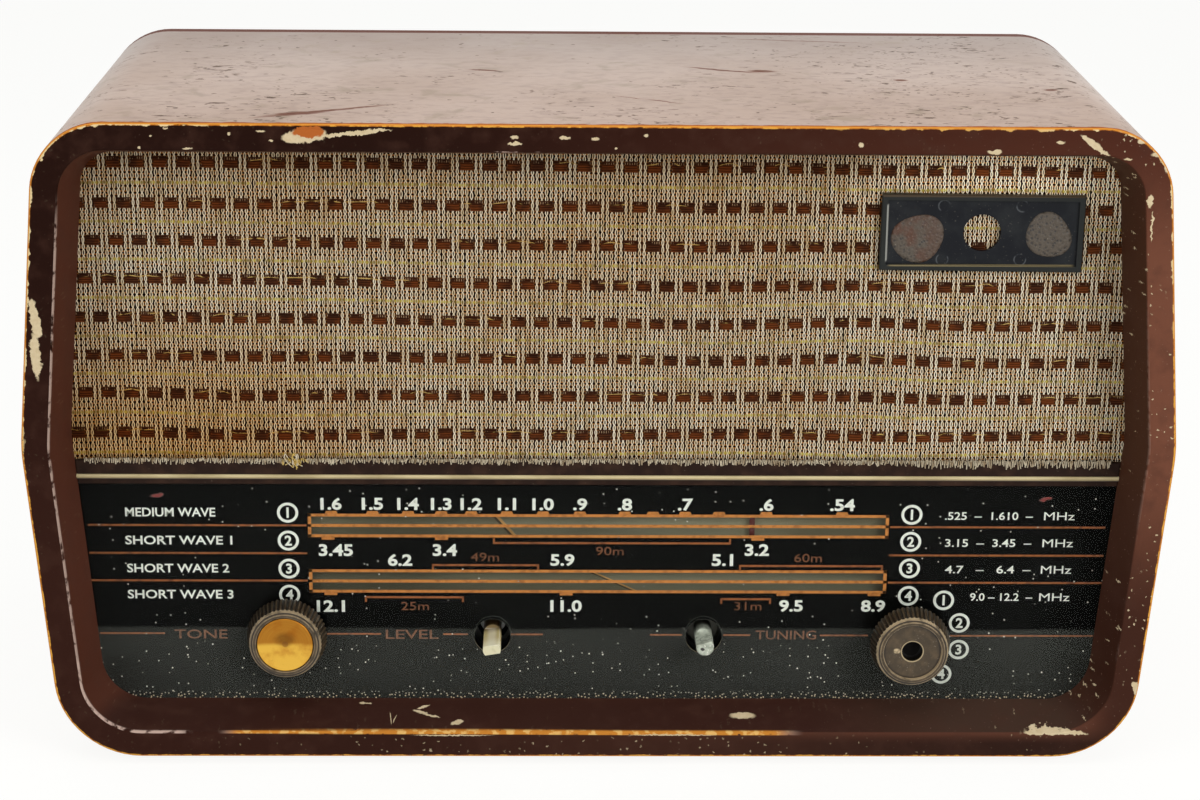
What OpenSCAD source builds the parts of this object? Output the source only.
// Table radio receiver with a bowed wooden cabinet, a woven grille cloth and a long glass dial.
// X runs to the right, Y to the back, Z up. The origin is under the middle of the cabinet,
// on the surface that the rubber feet stand on. All sizes are millimetres.

/* [Cabinet] */
// Width of the cabinet at its widest line, half way up the sides
cab_w = 400; // [380:1:440]
// How much each side comes in from the widest line to the top and to the bottom
side_taper = 9.5; // [2:0.5:20]
// Height of the cabinet without its feet
cab_h = 230; // [222:1:260]
// Depth of the cabinet from front edge to rear edge
cab_d = 182; // [178:1:230]
// Height of the widest line above the cabinet's underside
kink_z = 115; // [90:1:140]
// Thickness of the bent plywood shell
wall_t = 8; // [6:0.5:10]
// Outer radius of the two top edges
top_r = 25; // [20:1:32]
// Outer radius of the two bottom edges
bottom_r = 30; // [22:1:34]
// Radius that softens the widest line
kink_r = 50; // [30:1:120]
// Height of the rubber feet
foot_h = 3; // [3:0.5:8]
// Diameter of the rubber feet
foot_d = 16; // [10:1:24]
// Distance of the feet's middles from the ends of the underside
foot_in_x = 45.5; // [40:0.5:70]
// Distance of the feet's middles from the front and rear edges
foot_in_y = 26; // [16:0.5:40]

/* [Front] */
// Depth of the recess from the cabinet's front edge to the face of the glass
front_recess = 20; // [18:0.5:26]
// Width of the lining's edge that shows beside the plywood
lining_edge = 1.4; // [1:0.1:3]
// How far the lining's sloping face comes in from front to back
lining_rise = 4.7; // [3:0.1:7]
// Height of the lower edge of the divider above the cabinet's underside
divider_z = 96.4; // [92:0.2:98]
// Height of the divider between the dial and the cloth
divider_h = 8.6; // [7:0.1:12]
// How far the divider stands in front of the glass
divider_proud = 0.6; // [0.4:0.1:2]
// Height of the cream strip on the divider
trim_h = 1.8; // [1:0.1:3]
// Height of the strip's lower edge above the divider's lower edge
trim_rise = 1.8; // [1.5:0.1:3]
// Thickness of the cream strip
trim_t = 1; // [0.8:0.1:1.4]
// Thickness of the board that carries the cloth and the loudspeaker
board_t = 5; // [4:0.5:8]
// Thickness of the grille cloth
cloth_t = 0.8; // [0.5:0.1:1.2]

/* [Name plate] */
// Width of the bare plate on the cloth
plate_w = 70.2; // [50:0.2:90]
// Height of the plate
plate_h = 27; // [22:0.2:34]
// Thickness of the plate with its raised rim
plate_t = 2.5; // [2:0.1:4]
// Thickness of the plate inside its rim
plate_floor_t = 1.5; // [1:0.1:1.8]
// Width of the raised rim
plate_rim_w = 2.1; // [1.5:0.1:4]
// Gap between the plate's right edge and the lining
plate_gap = 13.5; // [8:0.1:40]
// Depth of the plate's middle below the cabinet's top
plate_down = 40.8; // [38:0.2:60]
// Angle by which the plate was glued on out of true
plate_tilt = -0.5; // [-3:0.1:3]
// Diameter of the hole through the plate
plate_hole_d = 13; // [6:0.5:16]
// Diameter of the two patches of dried glue
glue_d = 17.5; // [10:0.5:18]

/* [Dial] */
// Thickness of the dial glass
glass_t = 3; // [2:0.5:4]
// How far the glass reaches behind the lining
glass_lap = 3; // [2:0.2:4]
// Thickness of the black mask behind the glass
mask_t = 0.5; // [0.4:0.1:1]
// Gap for the pointer between the mask and the backplate
pointer_gap = 3; // [2.6:0.1:5]
// Thickness of the backplate
backplate_t = 1; // [0.8:0.1:1.6]
// Height of the backplate's lower edge above the cabinet's underside
backplate_z = 12; // [10:0.5:20]
// Width of the two dial windows
window_w = 207.4; // [204:0.2:212]
// Height of the two dial windows
window_h = 8.8; // [6:0.1:10]
// Height of the upper window's middle above the cabinet's underside
upper_window_z = 79.6; // [78:0.1:83]
// Height of the lower window's middle above the cabinet's underside
lower_window_z = 58.4; // [56:0.1:62]
// Diameter of the four holes for the controls
control_hole_d = 13; // [12:0.5:14]

/* [Controls] */
// Height of the four controls above the cabinet's underside
control_z = 38.45; // [37:0.05:41]
// Distance of the tone and band controls from the middle
outer_control_x = 112; // [108:0.2:118]
// Distance of the volume and tuning controls from the middle
inner_control_x = 38.1; // [34:0.1:42]
// Diameter of the control shafts
shaft_d = 6.35; // [6:0.05:6.4]
// Radial clearance of a shaft in its bush
running_gap = 0.06; // [0.03:0.01:0.1]
// Depth of the volume shaft's end behind the cabinet's front edge
volume_end = 6.8; // [5:0.2:12]
// Thickness of the volume shaft between its two flats
volume_flat = 3.5; // [3:0.1:5]
// Length of the volume shaft's flats
volume_flat_l = 16; // [8:0.5:18]
// Angle at which the volume shaft was left
volume_rest = -9.4; // [-45:0.1:45]
// Depth of the tuning shaft's end behind the cabinet's front edge
tuning_end = 9; // [5:0.2:12]
// Height of the tuning shaft's end over its flat
tuning_flat = 4.9; // [4:0.1:5.6]
// Length of the tuning shaft's flat
tuning_flat_l = 8; // [5:0.5:12]
// Angle at which the tuning shaft was left
tuning_rest = -16.8; // [-45:0.1:45]
// Diameter of a knob at its rear rim
knob_rim_d = 29; // [24:0.2:32]
// Diameter of a knob behind its front ring
knob_neck_d = 25.8; // [22:0.2:26]
// Diameter of the ring on the front of a knob
knob_ring_d = 24.8; // [23.4:0.1:25]
// Length of a knob
knob_l = 8.6; // [8:0.1:10]
// Length of the front ring
knob_ring_l = 1.4; // [1:0.1:2]
// Number of flutes round a knob
flutes = 52; // [36:2:64]
// Depth of the flutes
flute_depth = 0.35; // [0.2:0.05:0.6]
// Diameter of the recess for the cap on the front of a knob
cap_recess_d = 20.8; // [18:0.1:22]
// Depth of the recess for the cap
cap_recess_l = 1.4; // [1:0.1:2]
// Diameter of the hole through the middle of a knob
knob_hole_d = 7.4; // [7:0.1:9]
// Gap between the tone knob and the glass
tone_knob_gap = 0.6; // [0.4:0.1:2]
// Gap between the band knob and the glass, where the knob has worked forward
band_knob_gap = 6.8; // [0.4:0.1:8]
// Diameter of the gold cap in the tone knob
cap_d = 20; // [16:0.1:20.4]

/* [Tuning drive] */
// Travel of the dial pointer
pointer_travel = 200; // [180:1:200]
// Distance of the pointer from the left end of its travel
pointer_at = 155; // [60:0.2:175]
// Width of the pointer's needle
needle_w = 1.9; // [1:0.1:3]
// Diameter of the dial cord
cord_d = 0.8; // [0.6:0.1:1]
// Height of the cord's pointer run above the cabinet's underside
cord_run_z = 93; // [92:0.2:94]
// Radius at which the cord runs round a pulley
pulley_r = 6; // [5:0.1:7]
// Thickness of the cord drum
drum_w = 6; // [5:0.2:7]
// Distance of the drum from the middle
drum_x = 75; // [72:0.2:78]
// Height of the drum above the cabinet's underside
drum_z = 63; // [61:0.2:65]
// Module of the two gears
gear_module = 0.6; // [0.5:0.05:0.65]
// Number of teeth on the pinion
pinion_teeth = 16; // [14:1:18]
// Turns of the pinion for one turn of the gear
reduction = 3; // [3:1:4]
// Radius of the moving vanes
vane_r = 15; // [12:0.5:16]
// Thickness of a vane
vane_t = 0.5; // [0.4:0.05:0.7]
// Distance from one moving vane to the next
vane_pitch = 2.4; // [2.2:0.1:2.8]
// Number of moving vanes in each of the two banks
vanes = 7; // [5:1:8]

/* [Chassis] */
// Thickness of the chassis sheet
sheet_t = 1.2; // [1:0.1:1.6]
// Gap between the chassis and the cabinet's walls at each end
chassis_end_gap = 24.5; // [23:0.5:40]
// Height of the chassis front above the cabinet's floor
chassis_h = 88; // [86:1:90]
// Depth of the chassis tray
chassis_l = 62; // [60:1:66]
// Gap between the circuit board and the frame of the tuning capacitor
pcb_gap = 6.4; // [4:0.1:20]
// Width of the circuit board
pcb_w = 38; // [36:1:40]
// Thickness of the circuit board
pcb_t = 1.6; // [1.2:0.1:2]
// Height of the pillars under the circuit board
pillar_h = 6; // [5:0.5:8]
// Diameter of the two potentiometers
pot_d = 24; // [18:0.5:26]
// Depth of the two potentiometers
pot_l = 10; // [8:0.5:11]
// Depth of the on and off switch behind the tone control
switch_l = 8; // [6:0.5:9]
// Diameter of the band switch's wafers
wafer_d = 36; // [30:1:40]
// Distance between the band switch's wafers
wafer_gap = 10; // [8:0.5:12]

/* [Loudspeaker] */
// Gap between the loudspeaker's frame and the divider under it
speaker_low_gap = 2; // [1:0.1:6]
// Gap between the loudspeaker's frame and the cabinet's top
speaker_top_gap = 5; // [2:0.1:10]
// Width of the flat flange that the loudspeaker is screwed on by
speaker_flange = 8; // [7.5:0.1:12]
// Distance of the loudspeaker to the left of the middle
speaker_left = 70; // [50:1:100]
// Depth of the loudspeaker's frame
speaker_l = 34; // [28:1:40]
// Diameter of the magnet
magnet_d = 56; // [40:1:60]
// Depth of the magnet
magnet_l = 20; // [14:1:26]
// Travel of the cone each way
cone_travel = 1; // [0.5:0.1:1]

/* [Aerial and power] */
// Diameter of the ferrite rod
rod_d = 10; // [8:0.5:12]
// Length of the ferrite rod
rod_l = 160; // [120:1:200]
// Diameter of a dry cell
cell_d = 33.4; // [30:0.2:34]
// Length of a dry cell
cell_l = 61; // [58:0.5:62]
// Number of cells in the box
cells = 4; // [3:1:4]
// Thickness of the battery box's walls
box_t = 2; // [1.5:0.1:3]

/* [Back] */
// Thickness of the back cover
cover_t = 3; // [2.5:0.1:4]
// Depth of the cover inside the cabinet's rear edge
cover_inset = 6; // [5:0.5:10]
// Width of a vent slot
slot_w = 4; // [3:0.5:5]
// Height of a vent slot
slot_h = 34; // [20:1:40]
// Distance from one vent slot to the next
slot_pitch = 12; // [9:0.5:16]
// Number of vent slots in a row
slots = 22; // [10:1:24]
// Depth of the wooden blocks that the cover is screwed to
cleat_l = 14; // [10:1:20]
// Height of the lower blocks' middle above the cabinet's underside
cleat_up = 48; // [40:1:60]
// Depth of the upper blocks' middle below the cabinet's top
cleat_down = 50; // [40:1:60]

/* [Hidden] */
$fn = 64;
// Small lap that lets a cutter pass a face
cut = 1;
// Gap between pieces that must not rub
clear = 0.3;
// Gap round a screw in its hole
screw_gap = 0.05;
// Extra width of a hole that a screw passes freely
loose_hole = 1;

// Planes from front to back
drum_gap = 2;
chassis_gap = 3;
front_y = -cab_d / 2;
rear_y = cab_d / 2;
glass_y = front_y + front_recess;
board_y = glass_y + cloth_t;
speaker_y = board_y + board_t;
mask_y = glass_y + glass_t;
backplate_y = mask_y + mask_t + pointer_gap;
drum_y = backplate_y + backplate_t + drum_gap;
cord_y = drum_y + drum_w / 2;
plate_y = drum_y + drum_w + chassis_gap;
inside_y = plate_y + sheet_t;
cover_y = rear_y - cover_inset - cover_t;

// Heights above the standing surface
glass_rise = 2.6;
run_drop = 3;
floor_z = foot_h + wall_t;
shaft_z = foot_h + control_z;
bar_z = foot_h + divider_z;
bar_top = bar_z + divider_h;
glass_top = bar_z + glass_rise;
run_z = foot_h + cord_run_z;
backplate_top = run_z - run_drop;
tray_z = floor_z + sheet_t;
pcb_z = tray_z + pillar_h;
parts_z = pcb_z + pcb_t;

// Insets from the cabinet's outline
lining_front = wall_t + lining_edge;
lining_back = lining_front + lining_rise;
glass_inset = lining_back - glass_lap;

// The cabinet's outline, a six-sided figure with every corner rounded
end_w = cab_w - 2 * side_taper;
outline_corners = [[end_w / 2, cab_h], [cab_w / 2, kink_z], [end_w / 2, 0],
    [-end_w / 2, 0], [-cab_w / 2, kink_z], [-end_w / 2, cab_h]];
outline_radii = [top_r, kink_r, bottom_r, bottom_r, kink_r, top_r];
corner_steps = 10;
smallest_r = 1;

function unit(v) = v / norm(v);

// Distance of the cabinet's side from the middle, at a height above the underside
function side_x(z) = cab_w / 2 - side_taper * abs(z - kink_z) / (z > kink_z ? cab_h - kink_z : kink_z);

// Points round the corner b of a clockwise outline that is set in by inset
function round_corner(a, b, c, inset, r) =
    let (u = unit(a - b), v = unit(c - b), half = acos(u * v) / 2, middle = unit(u + v))
    let (small_r = max(r - inset, smallest_r), corner = b + middle * inset / sin(half))
    let (centre = corner + middle * small_r / sin(half), start = corner + u * small_r / tan(half) - centre)
    [for (i = [0:corner_steps])
        let (turn = atan2(start[1], start[0]) - (180 - 2 * half) * i / corner_steps)
        centre + small_r * [cos(turn), sin(turn)] + [0, foot_h]];

function outline(inset) = [for (i = [0:5])
    each round_corner(outline_corners[(i + 5) % 6], outline_corners[i], outline_corners[(i + 1) % 6],
        inset, outline_radii[i])];

// A flat shape drawn in X and Z, made solid from y0 to y1
module along_y(y0, y1) {
    rotate([90, 0, 0]) translate([0, 0, -y1]) linear_extrude(y1 - y0) children();
}

// A pin along X from x0 to x1
module rod_x(y, z, d, x0, x1) {
    translate([x0, y, z]) rotate([0, 90, 0]) cylinder(d = d, h = x1 - x0);
}

module rod_y(x, z, d, y0, y1) {
    translate([x, y0, z]) rotate([-90, 0, 0]) cylinder(d = d, h = y1 - y0);
}

// A shape turned about an axis along Y, from points of radius and depth
module turned_y(x, y, z, points) {
    translate([x, y, z]) rotate([-90, 0, 0]) rotate_extrude() polygon(points);
}

module block(x0, x1, y0, y1, z0, z1) {
    translate([x0, y0, z0]) cube([x1 - x0, y1 - y0, z1 - z0]);
}

// The flat area inside the cabinet between two heights
module slice(inset, z0, z1) {
    intersection() {
        polygon(outline(inset));
        translate([-cab_w, z0]) square([2 * cab_w, z1 - z0]);
    }
}

module cabinet_wrap() {
    color("#6b3a2a") difference() {
        along_y(front_y, rear_y) polygon(outline(0));
        along_y(front_y - cut, rear_y + cut) polygon(outline(wall_t));
        chassis_screw_places() cylinder(d = screw_d + loose_hole, h = 3 * wall_t, center = true);
    }
}

module front_lining() {
    rings = [[wall_t, front_y], [lining_front, front_y], [lining_back, glass_y], [wall_t, glass_y]];
    count = 6 * (corner_steps + 1);
    points = [for (r = rings) for (p = outline(r[0])) [p[0], r[1], p[1]]];
    faces = [for (k = [0:3]) for (i = [0:count - 1])
        let (a = k * count, b = (k + 1) % 4 * count, j = (i + 1) % count)
        each [[a + i, b + i, b + j], [a + i, b + j, a + j]]];
    color("#4a2621") polyhedron(points, faces);
}

module divider_bar() {
    color("#3a211c") difference() {
        union() {
            along_y(glass_y - divider_proud, glass_y) slice(lining_back + clear, bar_z, bar_top);
            along_y(glass_y, speaker_y) slice(wall_t, glass_top + clear, bar_top);
        }
        along_y(glass_y - divider_proud - cut, trim_y + trim_t)
            slice(0, bar_z + trim_rise, bar_z + trim_rise + trim_h);
    }
}

// The strip lies in a groove that is half its thickness deep
trim_y = glass_y - divider_proud - trim_t / 2;

module trim_strip() {
    color("#d9c79a") along_y(trim_y, trim_y + trim_t)
        slice(lining_back + clear, bar_z + trim_rise, bar_z + trim_rise + trim_h);
}

// The loudspeaker fills the height behind the cloth, between the divider and the top
speaker_d = foot_h + cab_h - wall_t - speaker_top_gap - speaker_low_gap - bar_top;
speaker_hole_d = speaker_d - 2 * speaker_flange;
speaker_at = [-speaker_left, bar_top + speaker_low_gap + speaker_d / 2];
speaker_screw_d = 3;
speaker_head_d = 2 * speaker_screw_d;
speaker_screw_r = speaker_d / 2 - speaker_head_d / 2 - clear;
speaker_screw_l = board_t * 0.6;

module baffle_board() {
    color("#8a6a48") difference() {
        along_y(board_y, speaker_y) difference() {
            slice(wall_t, bar_top, foot_h + cab_h);
            translate(speaker_at) circle(d = speaker_hole_d);
        }
        speaker_screw_places()
            rod_y(0, 0, speaker_screw_d + 2 * screw_gap, speaker_y - speaker_screw_l - clear, speaker_y + cut);
    }
}

module grille_cloth() {
    color("#a08c72") along_y(glass_y, board_y) slice(glass_inset, bar_top, foot_h + cab_h);
}

plate_z = cab_h - plate_down;
plate_x = side_x(plate_z) - lining_back - plate_gap - plate_w / 2;

module at_plate() {
    translate([plate_x, glass_y, foot_h + plate_z]) rotate([0, -plate_tilt, 0]) children();
}

module name_plate() {
    inner = [plate_w - 2 * plate_rim_w, plate_h - 2 * plate_rim_w];
    color("#14171c") at_plate() difference() {
        along_y(-plate_t, 0) difference() {
            square([plate_w, plate_h], center = true);
            circle(d = plate_hole_d);
        }
        along_y(-plate_t - cut, -plate_floor_t) square(inner, center = true);
    }
}

// A patch of dried glue with an edge that wavers, more to one side than to the other
waver = 0.05;

function glue_edge(d, turn) = [for (a = [0:15:345])
    d / 2 * (1 + waver * sin(2 * a + turn) + waver * sin(3 * a - turn)) * [cos(a), sin(a)]];

module glue_residue() {
    glue_t = (plate_t - plate_floor_t) * 0.8;
    glue_x = plate_w * 0.32;
    smaller = 0.92;
    left_turn = 40;
    right_turn = 190;
    color("#3b2a20") at_plate() along_y(-plate_floor_t - glue_t, -plate_floor_t) {
        translate([-glue_x, -plate_h * 0.05]) polygon(glue_edge(glue_d, left_turn));
        translate([glue_x, plate_h * 0.02]) polygon(glue_edge(glue_d * smaller, right_turn));
    }
}

control_places = [-outer_control_x, -inner_control_x, inner_control_x, outer_control_x];

module control_holes() {
    for (x = control_places) translate([x, shaft_z]) circle(d = control_hole_d);
}

module dial_glass() {
    color([0.1, 0.12, 0.12, 0.5]) along_y(glass_y, mask_y) difference() {
        slice(glass_inset, foot_h, glass_top);
        control_holes();
    }
}

module dial_mask() {
    color("#101010") along_y(mask_y, mask_y + mask_t) difference() {
        slice(glass_inset, foot_h, glass_top);
        control_holes();
        for (z = [upper_window_z, lower_window_z])
            translate([0, foot_h + z]) square([window_w, window_h], center = true);
    }
}

chassis_w = end_w - 2 * wall_t - 2 * chassis_end_gap;
// The backplate is as wide as the chassis that carries it
backplate_w = chassis_w;

module dial_backplate() {
    color("#6d7563") along_y(backplate_y, backplate_y + backplate_t) difference() {
        translate([-backplate_w / 2, foot_h + backplate_z])
            square([backplate_w, backplate_top - foot_h - backplate_z]);
        control_holes();
    }
}

module dial_spacers() {
    spacer_d = 6;
    color("silver") for (x = [-1, 1]) for (z = [foot_h + backplate_z + spacer_d, backplate_top - spacer_d])
        rod_y(x * (backplate_w / 2 - spacer_d), z, spacer_d, backplate_y + backplate_t, plate_y);
}

// The pointer at its place in the photograph
pointer_x = pointer_at - pointer_travel / 2;
cord_gap = 0.05;

module pointer() {
    saddle_w = 10;
    leg_t = 1.2;
    leg_h = 2.5;
    leg_z = backplate_top - leg_h;
    needle_t = 0.6;
    bridge_z = backplate_top + clear;
    bridge_t = 1.2;
    front = backplate_y - clear - leg_t;
    back = backplate_y + backplate_t + clear + leg_t;
    clip_w = 6;
    clip_r = 1.5;
    color("#7a1b14") translate([pointer_x, 0, 0]) difference() {
        union() {
            block(-saddle_w / 2, saddle_w / 2, front, front + leg_t, leg_z, bridge_z + bridge_t);
            block(-saddle_w / 2, saddle_w / 2, back - leg_t, back, leg_z, bridge_z + bridge_t);
            block(-saddle_w / 2, saddle_w / 2, front, back, bridge_z, bridge_z + bridge_t);
            block(-clip_w / 2, clip_w / 2, back - leg_t, cord_y + clip_r, bridge_z, run_z + clip_r);
            block(-needle_w / 2, needle_w / 2, front, front + needle_t,
                foot_h + upper_window_z - window_h / 2 - cut, leg_z + cut);
        }
        rod_x(cord_y, run_z, cord_d + 2 * cord_gap, -saddle_w, saddle_w);
    }
}

// The wheels that the cord passes, in order. Each has its middle, the radius of the cord's path,
// its sense as seen from the front, 1 for anticlockwise, and the number of extra turns round it.
drum_r = pointer_travel / (PI * reduction);
spindle_cord_r = shaft_d / 2 + cord_gap + cord_d / 2;
pulley_beyond = 16;
pulley_x = pointer_travel / 2 + pulley_beyond;
pulley_z = run_z - pulley_r;
drum_at = [drum_x, foot_h + drum_z];
wheels = [[drum_at, drum_r, 1, 1], [[inner_control_x, shaft_z], spindle_cord_r, -1, 2],
    [[-pulley_x, pulley_z], pulley_r, -1, 0], [[pulley_x, pulley_z], pulley_r, -1, 0]];
wrap_pitch = cord_d + 0.2;
cord_sides = 6;
// How far the cord's straight pieces may dip inside the curve that they follow
sag = 0.03;

// Direction of the straight run that leaves wheel i, along the common tangent
function run_angle(i) =
    let (a = wheels[i % 4], b = wheels[(i + 1) % 4], d = b[0] - a[0])
    atan2(d[1], d[0]) + asin((a[2] * a[1] - b[2] * b[1]) / norm(d));

function wrap_sweep(i) =
    let (s = wheels[i][2], bend = s * (run_angle(i) - run_angle(i + 3)))
    s * (bend - 360 * floor(bend / 360) + 360 * wheels[i][3]);

// Points of the cord round wheel i, side by side where it goes round more than once
function wrap_points(i) =
    let (w = wheels[i], sweep = wrap_sweep(i), first = run_angle(i + 3) - 90 * w[2])
    let (steps = ceil(abs(sweep) / (2 * acos(1 - sag / w[1]))))
    let (side = w[3] > 0 ? wrap_pitch * abs(sweep) / 360 : 0)
    [for (k = [0:steps])
        let (a = first + sweep * k / steps)
        [w[0][0] + w[1] * cos(a), cord_y + side * (k / steps - 0.5), w[0][1] + w[1] * sin(a)]];

// One unbroken tube along a path that turns about an axis, closed into a loop or with flat ends
module tube(path, r, sides, axis, loop = false) {
    n = len(path);
    last = (n - 1) * sides;
    points = [for (i = [0:n - 1])
        let (before = path[loop ? (i + n - 1) % n : max(i - 1, 0)])
        let (after = path[loop ? (i + 1) % n : min(i + 1, n - 1)])
        let (t = unit(after - before), u = unit(cross(t, axis)), v = cross(u, t))
        each [for (k = [0:sides - 1]) path[i] + r * (cos(360 * k / sides) * u + sin(360 * k / sides) * v)]];
    walls = [for (i = [0:(loop ? n - 1 : n - 2)]) for (k = [0:sides - 1])
        let (a = i * sides, b = (i + 1) % n * sides, m = (k + 1) % sides)
        each [[a + k, a + m, b + m], [a + k, b + m, b + k]]];
    ends = loop ? [] : [for (k = [1:sides - 2]) each [[0, k + 1, k], [last, last + k, last + k + 1]]];
    polyhedron(points, concat(walls, ends));
}

module dial_cord() {
    color("#cfc6b0") tube([for (i = [0:3]) each wrap_points(i)], cord_d / 2, cord_sides, [0, 1, 0], true);
}

pin_d = 3;
pulley_w = 3.6;
pulley_lip = 1.5;

// A grooved wheel about an axis along Y
module pulley(x) {
    groove = pulley_r - cord_d / 2 - cord_gap;
    rim = pulley_r + pulley_lip;
    bore = pin_d / 2 + running_gap;
    color("#e4dcc4") turned_y(x, cord_y, pulley_z, [[bore, -pulley_w / 2], [rim, -pulley_w / 2],
        [groove, -cord_d], [groove, cord_d], [rim, pulley_w / 2], [bore, pulley_w / 2]]);
}

module left_pulley() {
    pulley(-pulley_x);
}

module right_pulley() {
    pulley(pulley_x);
}

module pulley_pins() {
    washer_d = 6;
    washer_t = 1;
    front = cord_y - pulley_w / 2 - clear;
    back = cord_y + pulley_w / 2 + clear;
    color("silver") for (x = [-pulley_x, pulley_x]) {
        rod_y(x, pulley_z, pin_d, front - washer_t, plate_y);
        rod_y(x, pulley_z, washer_d, front - washer_t, front);
        rod_y(x, pulley_z, washer_d, back, plate_y);
    }
}

drive_d = 5;
drum_rim_r = drum_r + 2;
drum_floor_r = drum_r - cord_d / 2 - cord_gap;
spring_x = drum_r * 0.45;
spring_z = drum_r * 0.5;
spring_r = 1.5;
peg_d = 2;

module dial_drum() {
    web_t = 2;
    drum_hub_d = 10;
    web_y = drum_y + drum_w - web_t;
    lip = 1;
    slope = lip + 0.6;
    inner_r = drum_floor_r - 2;
    color("#ded6bd") difference() {
        union() {
            turned_y(drum_x, drum_y, drum_at[1], [[inner_r, 0], [drum_rim_r, 0], [drum_rim_r, lip],
                [drum_floor_r, slope], [drum_floor_r, drum_w - slope], [drum_rim_r, drum_w - lip],
                [drum_rim_r, drum_w], [inner_r, drum_w]]);
            rod_y(drum_x, drum_at[1], 2 * inner_r + cut, web_y, web_y + web_t);
            rod_y(drum_x, drum_at[1], drum_hub_d, drum_y, web_y + web_t);
            for (z = [drum_at[1] - spring_z, drum_at[1] + spring_z])
                rod_y(drum_x + spring_x, z, peg_d, spring_y - peg_d / 2, web_y + cut);
        }
        rod_y(drum_x, drum_at[1], drive_d, drum_y - cut, drum_y + drum_w + cut);
    }
}

spring_y = drum_y + drum_w / 2 - 1;

// The spring that keeps the cord tight, held between two pegs inside the drum
module drum_spring() {
    turns = 8;
    wire_r = 0.35;
    half = spring_z - peg_d / 2 - wire_r;
    points = [for (k = [0:8 * turns])
        [drum_x + spring_x + spring_r * cos(45 * k), spring_y + spring_r * sin(45 * k),
            drum_at[1] - half + half * k / (4 * turns)]];
    color("silver") tube(points, wire_r, 6, [0, 0, 1]);
}

// Gears with involute teeth
pressure = 20;
addendum = 0.9;
dedendum = 1.25;
gear_teeth = pinion_teeth * reduction;
backlash = 0.06;
mesh_angle = 120;
mesh_distance = gear_module * (pinion_teeth + gear_teeth) / 2;
rotor_at = drum_at + mesh_distance * [cos(mesh_angle), sin(mesh_angle)];
gear_gap = 1.5;
gear_y = inside_y + gear_gap;
gear_t = 2;
gang_y = gear_y + gear_t + gear_gap;

function involute(angle) = tan(angle) * 180 / PI - angle;

// Half of a tooth's angle at radius r
function half_tooth(r, pitch_r, teeth) =
    let (base = pitch_r * cos(pressure), at = r > base ? acos(base / r) : 0)
    90 / teeth - backlash / pitch_r * 180 / PI + involute(pressure) - involute(at);

module gear(teeth) {
    pitch_r = gear_module * teeth / 2;
    root = pitch_r - dedendum * gear_module;
    base = max(pitch_r * cos(pressure), root + sag);
    tip = pitch_r + addendum * gear_module;
    radii = [root, base, base + (tip - base) / 3, base + (tip - base) * 2 / 3, tip];
    polygon([for (i = [0:teeth - 1]) each concat(
        [for (r = radii) let (a = 360 * i / teeth - half_tooth(r, pitch_r, teeth)) r * [cos(a), sin(a)]],
        [for (k = [4:-1:0]) let (r = radii[k], a = 360 * i / teeth + half_tooth(r, pitch_r, teeth))
            r * [cos(a), sin(a)]])]);
}

// The shaft that carries the drum and turns the pinion
module drive_pinion() {
    color("#b59a5a") {
        rod_y(drum_x, drum_at[1], drive_d, drum_y, gang_y + frame_t);
        along_y(gear_y - clear, gear_y + gear_t + clear)
            translate(drum_at) rotate(mesh_angle) gear(pinion_teeth);
    }
}

rotor_shaft_d = 6;

module reduction_gear() {
    color("#c2a766") difference() {
        along_y(gear_y, gear_y + gear_t) translate(rotor_at)
            rotate(mesh_angle + 180 + 180 / gear_teeth) gear(gear_teeth);
        rod_y(rotor_at[0], rotor_at[1], rotor_shaft_d, gear_y - cut, gear_y + gear_t + cut);
    }
}

frame_t = 1.5;
bank_gap = 3;
bank_l = (vanes - 1) * vane_pitch + vane_t;
bank_y = [gang_y + frame_t + bank_gap, gang_y + frame_t + bank_l + 2 * bank_gap];
gang_end = bank_y[1] + bank_l + bank_gap;
rotor_turn = 180 * pointer_at / pointer_travel;
hub_d = rotor_shaft_d + 3;
hub_over = 1;

module gang_rotor() {
    color("#c9ccd0") {
        rod_y(rotor_at[0], rotor_at[1], rotor_shaft_d, gear_y - clear, gang_end + frame_t);
        for (y = bank_y) rod_y(rotor_at[0], rotor_at[1], hub_d, y - hub_over, y + bank_l + hub_over);
        for (y = bank_y) for (k = [0:vanes - 1])
            along_y(y + k * vane_pitch, y + k * vane_pitch + vane_t)
                translate(rotor_at) rotate(-rotor_turn) intersection() {
                    circle(r = vane_r);
                    translate([-vane_r, 0]) square([2 * vane_r, vane_r]);
                }
    }
}

stator_w = 2 * vane_r + 8;
stator_h = vane_r + 3;
stator_drop = 1;
stator_rod_d = 3;

module gang_stators() {
    in_x = stator_w / 2 - stator_rod_d;
    in_z = stator_h - stator_rod_d;
    hub_hole_d = hub_d + 3;
    color("#b9bdc4") {
        for (side = [-1, 1])
            rod_y(rotor_at[0] + side * in_x, rotor_at[1] - in_z, stator_rod_d, gang_y + frame_t, gang_end);
        for (y = bank_y) for (k = [0:vanes - 2])
            along_y(y + (k + 0.5) * vane_pitch, y + (k + 0.5) * vane_pitch + vane_t)
                translate(rotor_at) difference() {
                    translate([-stator_w / 2, -stator_h]) square([stator_w, stator_h - stator_drop]);
                    circle(d = hub_hole_d);
                }
    }
}

side_room = 2;
gang_left = rotor_at[0] - stator_w / 2 - side_room;

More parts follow.
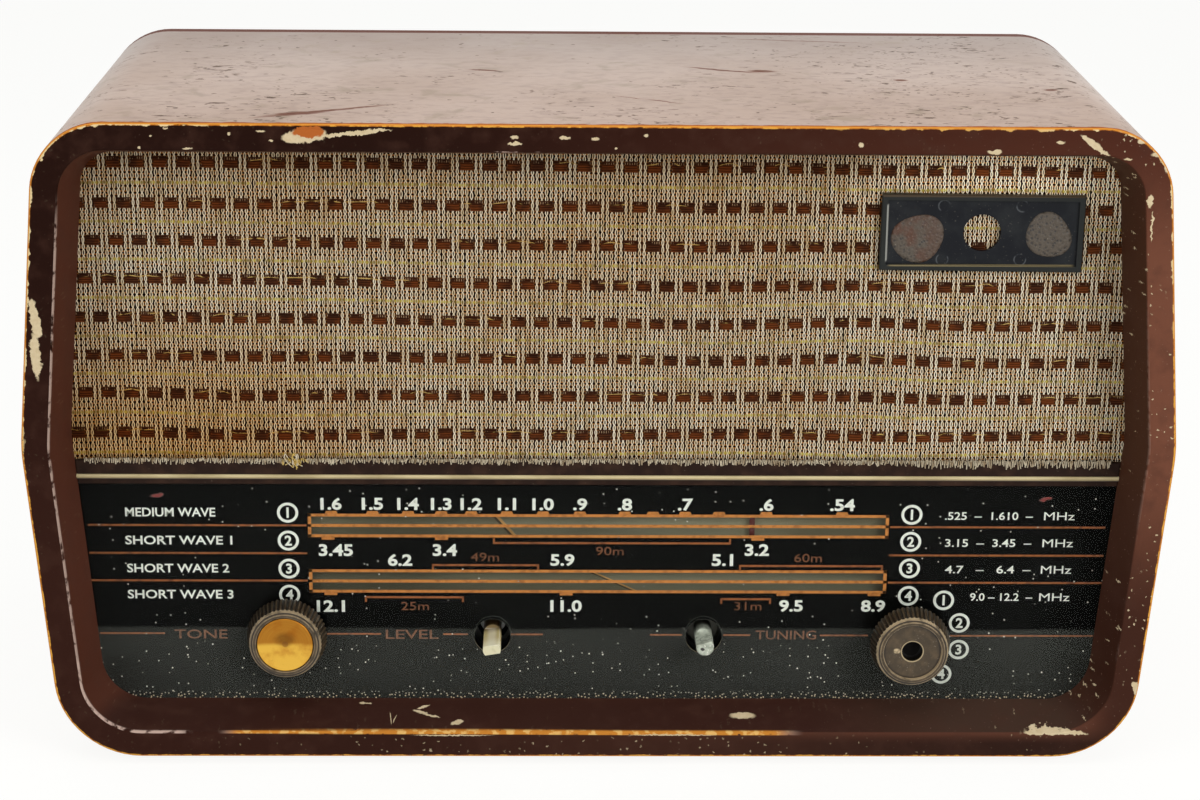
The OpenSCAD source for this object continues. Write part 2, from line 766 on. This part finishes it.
module gang_frame() {
    left = gang_left;
    right = rotor_at[0] + stator_w / 2 + side_room;
    low = rotor_at[1] - stator_h - 2 * side_room;
    high = rotor_at[1] + vane_r + side_room;
    post_d = 6;
    post_in = 4;
    color("#8f959c") difference() {
        union() {
            block(left, right, gang_y, gang_y + frame_t, low, high);
            block(left, right, gang_end, gang_end + frame_t, low, high);
            block(left, right, gang_y, gang_end + frame_t, low - frame_t, low);
            for (x = [left + post_in, right - post_in]) rod_y(x, high - post_in, post_d, inside_y, gang_y);
        }
        rod_y(rotor_at[0], rotor_at[1], rotor_shaft_d + 2 * running_gap,
            gang_y - cut, gang_end + frame_t + cut);
        rod_y(drum_x, drum_at[1], drive_d + 2 * running_gap, gang_y - cut, gang_y + frame_t + cut);
    }
}

// The tuning shaft, with two flanges that keep the cord's turns together
module tuning_spindle() {
    r = shaft_d / 2;
    flange_r = r + 2.5;
    flange_t = 1;
    chamfer = 0.4;
    clip_r = r + 1;
    clip_t = 0.8;
    end = front_y + tuning_end;
    front_flange = cord_y - drum_w / 2;
    rear_flange = cord_y + drum_w / 2 - flange_t;
    clip = bush_back + clear;
    back = clip + clip_t + chamfer;
    color("#b9b7ac") translate([inner_control_x, 0, shaft_z]) rotate([0, tuning_rest, 0]) difference() {
        turned_y(0, 0, 0, [[0, end], [r - chamfer, end], [r, end + chamfer], [r, front_flange],
            [flange_r, front_flange], [flange_r, front_flange + flange_t], [r, front_flange + flange_t],
            [r, rear_flange], [flange_r, rear_flange], [flange_r, rear_flange + flange_t],
            [r, rear_flange + flange_t], [r, clip], [clip_r, clip], [clip_r, clip + clip_t],
            [r, clip + clip_t], [r, back], [0, back]]);
        block(-r - cut, r + cut, end - cut, end + tuning_flat_l, tuning_flat - r, r + cut);
        rod_x(end + tuning_flat_l, tuning_flat, shaft_d, -r - cut, r + cut);
    }
}

bush_d = 9.5;
bush_back = inside_y + 3;
nut_w = 13;
nut_t = 2.4;

module tuning_bush() {
    front = cord_y + drum_w / 2 + 2 * clear;
    color("#b08d57") difference() {
        rod_y(inner_control_x, shaft_z, bush_d, front, bush_back);
        rod_y(inner_control_x, shaft_z, shaft_d + 2 * running_gap, front - cut, bush_back + cut);
    }
}

// Where the bushes of the other three controls begin, in front of their nuts
bush_front = plate_y - nut_t - 1;
pot_floor_t = 1.5;

// A bush through the chassis with a round case behind it, bored for its shaft
module pot(x, depth) {
    difference() {
        union() {
            rod_y(x, shaft_z, bush_d, bush_front, inside_y + cut);
            rod_y(x, shaft_z, pot_d, inside_y, inside_y + depth);
        }
        rod_y(x, shaft_z, shaft_d + 2 * running_gap, bush_front - cut, inside_y + depth - pot_floor_t);
    }
}

module volume_pot() {
    color("#9a9484") pot(-inner_control_x, pot_l);
}

switch_d = 18;

module tone_pot() {
    color("#9a9484") {
        pot(-outer_control_x, pot_l);
        rod_y(-outer_control_x, shaft_z, switch_d, inside_y + pot_l, inside_y + pot_l + switch_l);
    }
}

pot_shaft_end = inside_y + pot_l - pot_floor_t - clear;

// The volume shaft, a plastic rod that is cut flat on two sides at its end
module volume_shaft() {
    r = shaft_d / 2;
    end = front_y + volume_end;
    color("#e3dcae") translate([-inner_control_x, 0, shaft_z]) rotate([0, volume_rest, 0]) difference() {
        rod_y(0, 0, shaft_d, end, pot_shaft_end);
        for (turn = [0, 180]) rotate([0, turn, 0])
            block(-r - cut, r + cut, end - cut, end + volume_flat_l, volume_flat / 2, r + cut);
    }
}

tone_face_y = glass_y - tone_knob_gap - knob_l;
band_face_y = glass_y - band_knob_gap - knob_l;
socket_l = 3.2;

module tone_shaft() {
    color("#e3dcae") rod_y(-outer_control_x, shaft_z, shaft_d, tone_face_y + knob_l - socket_l, pot_shaft_end);
}

function flute_points(r) = [for (i = [0:flutes - 1]) for (k = [0:3])
    let (a = 360 * (i + k / 4) / flutes, depth = k < 2 ? 0 : flute_depth)
    (r - depth) * [cos(a), sin(a)]];

// A fluted knob whose face is at y. Two rings, one a step behind the other, run round the cap.
module knob(x, y) {
    rim_r = knob_rim_d / 2;
    ring_r = knob_ring_d / 2;
    ring_step_w = 0.9;
    ring_step_l = 0.5;
    ring_chamfer = 0.3;
    knob_hub_r = 6;
    shell = 2.4;
    difference() {
        union() {
            translate([x, y + knob_l, shaft_z]) rotate([90, 0, 0])
                linear_extrude(knob_l - knob_ring_l, scale = knob_neck_d / knob_rim_d)
                    polygon(flute_points(rim_r));
            turned_y(x, y, shaft_z, [[0, 0], [ring_r - ring_step_w, 0], [ring_r - ring_step_w, ring_step_l],
                [ring_r - ring_chamfer, ring_step_l], [ring_r, ring_step_l + ring_chamfer],
                [ring_r, knob_ring_l + cut], [0, knob_ring_l + cut]]);
        }
        rod_y(x, shaft_z, cap_recess_d, y - cut, y + cap_recess_l);
        rod_y(x, shaft_z, knob_hole_d, y, y + knob_l - socket_l);
        rod_y(x, shaft_z, shaft_d, y, y + knob_l + cut);
        turned_y(x, y + cap_recess_l + shell, shaft_z, [[knob_hub_r, 0], [ring_r - shell, 0],
            [rim_r - shell, knob_l], [knob_hub_r, knob_l]]);
    }
}

module tone_knob() {
    color("#3d2f25") knob(-outer_control_x, tone_face_y);
}

module band_knob() {
    color("#3d2f25") knob(outer_control_x, band_face_y);
}

// The gold cap, a shallow dish that is lowest in the middle
module tone_knob_cap() {
    r = cap_d / 2;
    rim_w = 0.5;
    sunk = 0.2;
    color("#c98a2c") turned_y(-outer_control_x, tone_face_y, shaft_z, [[0, cap_recess_l - clear],
        [r - rim_w, sunk], [r, sunk], [r, cap_recess_l], [0, cap_recess_l]]);
}

first_wafer = 6;
wafer_y = [inside_y + first_wafer, inside_y + first_wafer + wafer_gap];
wafer_t = 1.5;
detent_t = 3;
detent_d = wafer_d * 0.7;
rotor_disc_d = wafer_d * 0.45;
wafer_rod_d = 2.5;

module band_switch() {
    rod_at = wafer_d / 2 - wafer_rod_d;
    strap_h = 10;
    strap_t = 1;
    color("#7c6a4d") difference() {
        union() {
            rod_y(outer_control_x, shaft_z, bush_d, bush_front, inside_y + cut);
            rod_y(outer_control_x, shaft_z, detent_d, inside_y, inside_y + detent_t);
            along_y(inside_y, inside_y + strap_t)
                translate([outer_control_x, shaft_z]) square([wafer_d, strap_h], center = true);
            for (y = wafer_y) difference() {
                rod_y(outer_control_x, shaft_z, wafer_d, y, y + wafer_t);
                rod_y(outer_control_x, shaft_z, rotor_disc_d + 2 * clear, y - cut, y + wafer_t + cut);
            }
            for (x = [outer_control_x - rod_at, outer_control_x + rod_at])
                rod_y(x, shaft_z, wafer_rod_d, inside_y, wafer_y[1] + 2 * wafer_t);
        }
        rod_y(outer_control_x, shaft_z, shaft_d + 2 * running_gap, bush_front - cut, inside_y + detent_t + cut);
    }
}

module band_shaft() {
    color("#a9a79c") {
        rod_y(outer_control_x, shaft_z, shaft_d, band_face_y + knob_l - socket_l, wafer_y[1] + 2 * wafer_t);
        for (y = wafer_y) rod_y(outer_control_x, shaft_z, rotor_disc_d, y, y + wafer_t);
    }
}

module control_nuts() {
    color("#c0b283") for (x = control_places) difference() {
        translate([x, plate_y - nut_t, shaft_z]) rotate([-90, 0, 0])
            cylinder(d = nut_w / cos(30), h = nut_t, $fn = 6);
        rod_y(x, shaft_z, bush_d, plate_y - nut_t - cut, plate_y + cut);
    }
}

screw_d = 3.8;
head_d = 7;
head_t = 2;
tray_end = plate_y + chassis_l;
chassis_screw_in = 8;

module chassis_screw_places() {
    for (x = [-1, 1]) for (y = [plate_y + chassis_screw_in, tray_end - chassis_screw_in])
        translate([x * (chassis_w / 2 - chassis_screw_in), y, floor_z]) children();
}

module chassis() {
    color("#a5a89f") difference() {
        union() {
            block(-chassis_w / 2, chassis_w / 2, plate_y, inside_y, floor_z, floor_z + chassis_h);
            block(-chassis_w / 2, chassis_w / 2, plate_y, tray_end, floor_z, tray_z);
        }
        for (x = control_places) rod_y(x, shaft_z, bush_d, plate_y - cut, inside_y + cut);
        rod_y(drum_x, drum_at[1], drive_d + 2 * running_gap, plate_y - cut, inside_y + cut);
        chassis_screw_places() cylinder(d = screw_d + 2 * screw_gap, h = 3 * sheet_t, center = true);
    }
}

module chassis_screws() {
    screw_over = 3;
    color("silver") chassis_screw_places() {
        translate([0, 0, -wall_t]) cylinder(d = screw_d, h = wall_t + sheet_t + screw_over);
        translate([0, 0, -wall_t - head_t]) cylinder(d = head_d, h = head_t);
    }
}

pcb_x = -chassis_w / 2 + 2 * chassis_screw_in;
pcb_l = gang_left - pcb_gap - pcb_x;
pcb_y = tray_end - pcb_w - 1;

module circuit_board() {
    color("#8b5a2b") block(pcb_x, pcb_x + pcb_l, pcb_y, pcb_y + pcb_w, pcb_z, parts_z);
}

// Equal parts on the board, each at a share of its length and of its width
module on_board(places) {
    for (p = places) translate([pcb_x + pcb_l * p[0], pcb_y + pcb_w * p[1], parts_z]) children();
}

module board_pillars() {
    pillar_d = 5;
    color("silver") for (x = [0.04, 0.5, 0.96]) for (y = [0.1, 0.9])
        translate([pcb_x + pcb_l * x, pcb_y + pcb_w * y, tray_z]) cylinder(d = pillar_d, h = pillar_h);
}

module if_cans() {
    can_w = 10;
    can_h = 13;
    core_d = 4;
    color("#c8cbd0") on_board([[0.64, 0.3], [0.74, 0.3], [0.84, 0.3], [0.93, 0.7]]) difference() {
        translate([-can_w / 2, -can_w / 2, 0]) cube([can_w, can_w, can_h]);
        translate([0, 0, can_h - core_d]) cylinder(d = core_d, h = core_d + cut);
    }
}

module transistors() {
    can_d = 6;
    can_h = 7;
    brim = 0.8;
    places = [[0.3, 0.25], [0.38, 0.25], [0.46, 0.3], [0.55, 0.3], [0.69, 0.75], [0.79, 0.75]];
    color("#30343a") on_board(places) {
        cylinder(d = can_d, h = can_h);
        cylinder(d = can_d + 2 * brim, h = brim);
    }
}

module electrolytics() {
    can_d = 8;
    can_h = 14;
    color("#2f5f8a") on_board([[0.36, 0.75], [0.43, 0.8], [0.5, 0.75], [0.57, 0.8], [0.63, 0.76]])
        cylinder(d = can_d, h = can_h);
}

module resistors() {
    body_d = 2.4;
    body_l = 7;
    color("#b98d5a") on_board([for (k = [0:8]) [0.29 + 0.038 * k, 0.5]])
        translate([0, body_l / 2, body_d / 2]) rotate([90, 0, 0]) cylinder(d = body_d, h = body_l);
}

// Two small transformers, each a laminated core with its winding round the middle
module audio_transformers() {
    core = 16;
    stack = 6;
    margin = 2;
    color("#7d7468") on_board([[0.1, 0.5], [0.22, 0.5]]) {
        translate([-core / 2, -stack / 2, 0]) cube([core, stack, core]);
        difference() {
            translate([margin - core / 2, -core / 2, margin])
                cube([core - 2 * margin, core, core - 2 * margin]);
            translate([-core / 2, -stack / 2, 0]) cube([core, stack, core]);
        }
    }
}

ferrite_y = rear_y - 46;
ferrite_z = foot_h + cab_h - wall_t - 16;

module ferrite_rod() {
    color("#3a3a3c") rod_x(ferrite_y, ferrite_z, rod_d, -rod_l / 2, rod_l / 2);
}

module aerial_coils() {
    coil_l = 26;
    winding_t = 2;
    color("#b5712f") for (x = [-0.28 * rod_l, 0.2 * rod_l]) difference() {
        rod_x(ferrite_y, ferrite_z, rod_d + 2 * winding_t, x - coil_l / 2, x + coil_l / 2);
        rod_x(ferrite_y, ferrite_z, rod_d, x - coil_l, x + coil_l);
    }
}

module rod_holders() {
    holder_w = 7;
    wall = rod_d / 2 + 2;
    color("#d8d2c0") for (x = [-0.44 * rod_l, 0.44 * rod_l]) difference() {
        block(x - holder_w / 2, x + holder_w / 2, ferrite_y - wall, ferrite_y + wall,
            ferrite_z - wall, foot_h + cab_h - wall_t);
        rod_x(ferrite_y, ferrite_z, rod_d, x - holder_w, x + holder_w);
    }
}

// The loudspeaker, with a pressed frame that has four openings round the cone
speaker_back = speaker_y + speaker_l;
speaker_sheet = 1.2;
coil_d = 26;
pole_over = 6;
plate_under = 4;

module speaker_screw_places() {
    for (turn = [45:90:315])
        translate([speaker_at[0] + speaker_screw_r * cos(turn), 0, speaker_at[1] + speaker_screw_r * sin(turn)])
            children();
}

module speaker_basket() {
    rim_r = speaker_d / 2;
    bowl_r = speaker_hole_d / 2;
    bowl_l = 6;
    seat_r = magnet_d / 2;
    sheet = speaker_sheet;
    window = 24;
    color("#8d9093") difference() {
        turned_y(speaker_at[0], speaker_y, speaker_at[1], [[bowl_r, 0], [rim_r, 0], [rim_r, sheet],
            [bowl_r + sheet, sheet], [bowl_r + sheet, bowl_l], [seat_r, speaker_l], [coil_d / 2, speaker_l],
            [coil_d / 2, speaker_l - sheet], [seat_r - sheet, speaker_l - sheet], [bowl_r, bowl_l]]);
        translate([speaker_at[0], 0, speaker_at[1]]) for (turn = [0:90:270]) rotate([0, turn, 0])
            block(-window / 2, window / 2, speaker_y + bowl_l + sheet, speaker_back - 3 * sheet, coil_d, rim_r);
        speaker_screw_places()
            rod_y(0, 0, speaker_screw_d + 2 * screw_gap, speaker_y - cut, speaker_y + sheet + cut);
    }
}

module speaker_magnet() {
    pole_r = coil_d / 2 - 2.5;
    color("#4a4d50") turned_y(speaker_at[0], speaker_back, speaker_at[1], [[0, -pole_over],
        [pole_r, -pole_over], [pole_r, magnet_l - plate_under], [coil_d / 2, magnet_l - plate_under],
        [coil_d / 2, 0], [magnet_d / 2, 0], [magnet_d / 2, magnet_l], [0, magnet_l]]);
}

// The paper cone with its edge roll, its dust cap and the tube of its voice coil
module speaker_cone() {
    edge_r = speaker_hole_d / 2 - 1;
    roll_w = 6;
    roll_h = 2;
    paper = 0.9;
    neck_r = coil_d / 2 - paper;
    front = cone_travel + clear;
    neck = speaker_l - pole_over - roll_h;
    dome = [neck - 7, neck - 5];
    dome_r = neck_r * 0.7;
    tube_l = 12;
    color("#3b332c") turned_y(speaker_at[0], speaker_y, speaker_at[1], [[0, dome[0]], [dome_r, dome[1]],
        [neck_r, neck], [edge_r - roll_w, front + roll_h], [edge_r, front], [edge_r, front + paper],
        [edge_r - roll_w, front + roll_h + paper], [neck_r + paper, neck + paper],
        [neck_r + paper / 2, neck + tube_l], [neck_r, neck + tube_l], [neck_r, neck + paper],
        [dome_r, dome[1] + paper], [0, dome[0] + paper]]);
}

module speaker_screws() {
    seat = speaker_y + speaker_sheet;
    color("silver") speaker_screw_places() {
        rod_y(0, 0, speaker_screw_d, speaker_y - speaker_screw_l, seat + cut);
        rod_y(0, 0, speaker_head_d, seat, seat + head_t);
    }
}

spring_l = 7;
cell_gap = 0.1;
contact_t = 0.8;
box_gap = 4;
box_l = cells * (cell_l + cell_gap) + spring_l + contact_t + 2 * box_t;
box_w = cell_d + 1 + 2 * box_t;
box_y = cover_y - box_gap - box_w;
box_x = -box_l / 2;
cell_z = floor_z + box_t + cell_d / 2;
cell_y = box_y + box_w / 2;

module battery_box() {
    box_h = 28;
    color("#2d2d2f") difference() {
        block(box_x, box_x + box_l, box_y, box_y + box_w, floor_z, floor_z + box_h);
        block(box_x + box_t, box_x + box_l - box_t, box_y + box_t, box_y + box_w - box_t,
            floor_z + box_t, floor_z + box_h + cut);
    }
}

module battery_cells() {
    first = box_x + box_t + spring_l;
    nose_l = 1.5;
    nose_d = 9;
    color("#7b3f2b") for (k = [0:cells - 1]) let (start = first + k * (cell_l + cell_gap)) {
        rod_x(cell_y, cell_z, cell_d, start, start + cell_l - nose_l);
        rod_x(cell_y, cell_z, nose_d, start, start + cell_l);
    }
}

// The spring at one end of the row of cells and the plate at the other
module battery_contacts() {
    turns = 3;
    wire_r = 0.6;
    helix_r = 7;
    tab = 6;
    start = box_x + box_t + wire_r;
    length = spring_l - 2 * wire_r;
    end = box_x + box_l - box_t;
    points = [for (k = [0:12 * turns])
        [start + length * k / (12 * turns), cell_y + helix_r * cos(30 * k), cell_z + helix_r * sin(30 * k)]];
    color("#c9ccd0") {
        tube(points, wire_r, 6, [1, 0, 0]);
        block(end - contact_t, end, cell_y - tab, cell_y + tab, cell_z - tab, cell_z + tab);
    }
}

// The four blocks behind the back cover, each glued to a side of the cabinet
cleat_w = 18;
cleat_h = 44;
cleat_heights = [cleat_up, cab_h - cleat_down];
back_screw_l = cleat_l * 0.7;

// Distance of a block's middle from the cabinet's middle, at a height above the underside
function cleat_x(z) = side_x(z) - wall_t - cleat_w / 2;

module back_cleats() {
    color("#a9814f") difference() {
        along_y(cover_y - cleat_l, cover_y) for (z = cleat_heights) let (inner = cleat_x(z) - cleat_w / 2)
            difference() {
                slice(wall_t, foot_h + z - cleat_h / 2, foot_h + z + cleat_h / 2);
                translate([-inner, 0]) square([2 * inner, cab_h + foot_h]);
            }
        back_screw_places() rod_y(0, 0, screw_d + 2 * screw_gap, cover_y - back_screw_l - clear, cover_y + cut);
    }
}

module back_screw_places() {
    for (side = [-1, 1]) for (z = cleat_heights) translate([side * cleat_x(z), 0, foot_h + z]) children();
}

slot_heights = [foot_h + cab_h * 0.55, foot_h + cab_h * 0.78];

module back_cover() {
    color("#5a4434") along_y(cover_y, cover_y + cover_t) difference() {
        polygon(outline(wall_t + clear));
        for (z = slot_heights) for (k = [0:slots - 1])
            translate([(k - (slots - 1) / 2) * slot_pitch, z]) {
                square([slot_w, slot_h - slot_w], center = true);
                for (end = [-1, 1]) translate([0, end * (slot_h - slot_w) / 2]) circle(d = slot_w);
            }
        for (side = [-1, 1]) for (z = cleat_heights)
            translate([side * cleat_x(z), foot_h + z]) circle(d = screw_d + 2 * screw_gap);
    }
}

module back_screws() {
    color("#b08d57") back_screw_places() {
        rod_y(0, 0, screw_d, cover_y - back_screw_l, cover_y + cover_t + cut);
        rod_y(0, 0, head_d, cover_y + cover_t, cover_y + cover_t + head_t);
    }
}

// The strip on the back cover with two clamping screws for an outside aerial and earth
module aerial_terminals() {
    strip = [46, 2, 16];
    strip_x = 90;
    strip_y = cover_y + cover_t;
    strip_z = foot_h + cab_h * 0.3;
    color("#a26a32") {
        translate([strip_x - strip[0] / 2, strip_y, strip_z - strip[2] / 2]) cube(strip);
        for (x = [strip_x - strip[0] / 4, strip_x + strip[0] / 4])
            rod_y(x, strip_z, head_d, strip_y + strip[1], strip_y + strip[1] + head_t);
    }
}

module feet() {
    color("#222222") for (x = [-1, 1]) for (y = [-1, 1])
        translate([x * (end_w / 2 - foot_in_x), y * (rear_y - foot_in_y), 0]) cylinder(d = foot_d, h = foot_h);
}

cabinet_wrap();
front_lining();
divider_bar();
trim_strip();
baffle_board();
grille_cloth();
name_plate();
glue_residue();
dial_glass();
dial_mask();
dial_backplate();
dial_spacers();
pointer();
dial_cord();
left_pulley();
right_pulley();
pulley_pins();
dial_drum();
drum_spring();
drive_pinion();
reduction_gear();
gang_rotor();
gang_stators();
gang_frame();
tuning_spindle();
tuning_bush();
volume_pot();
volume_shaft();
tone_pot();
tone_shaft();
tone_knob();
tone_knob_cap();
band_switch();
band_shaft();
band_knob();
control_nuts();
chassis();
chassis_screws();
circuit_board();
board_pillars();
if_cans();
transistors();
electrolytics();
resistors();
audio_transformers();
ferrite_rod();
aerial_coils();
rod_holders();
speaker_basket();
speaker_magnet();
speaker_cone();
speaker_screws();
battery_box();
battery_cells();
battery_contacts();
back_cover();
back_cleats();
back_screws();
aerial_terminals();
feet();
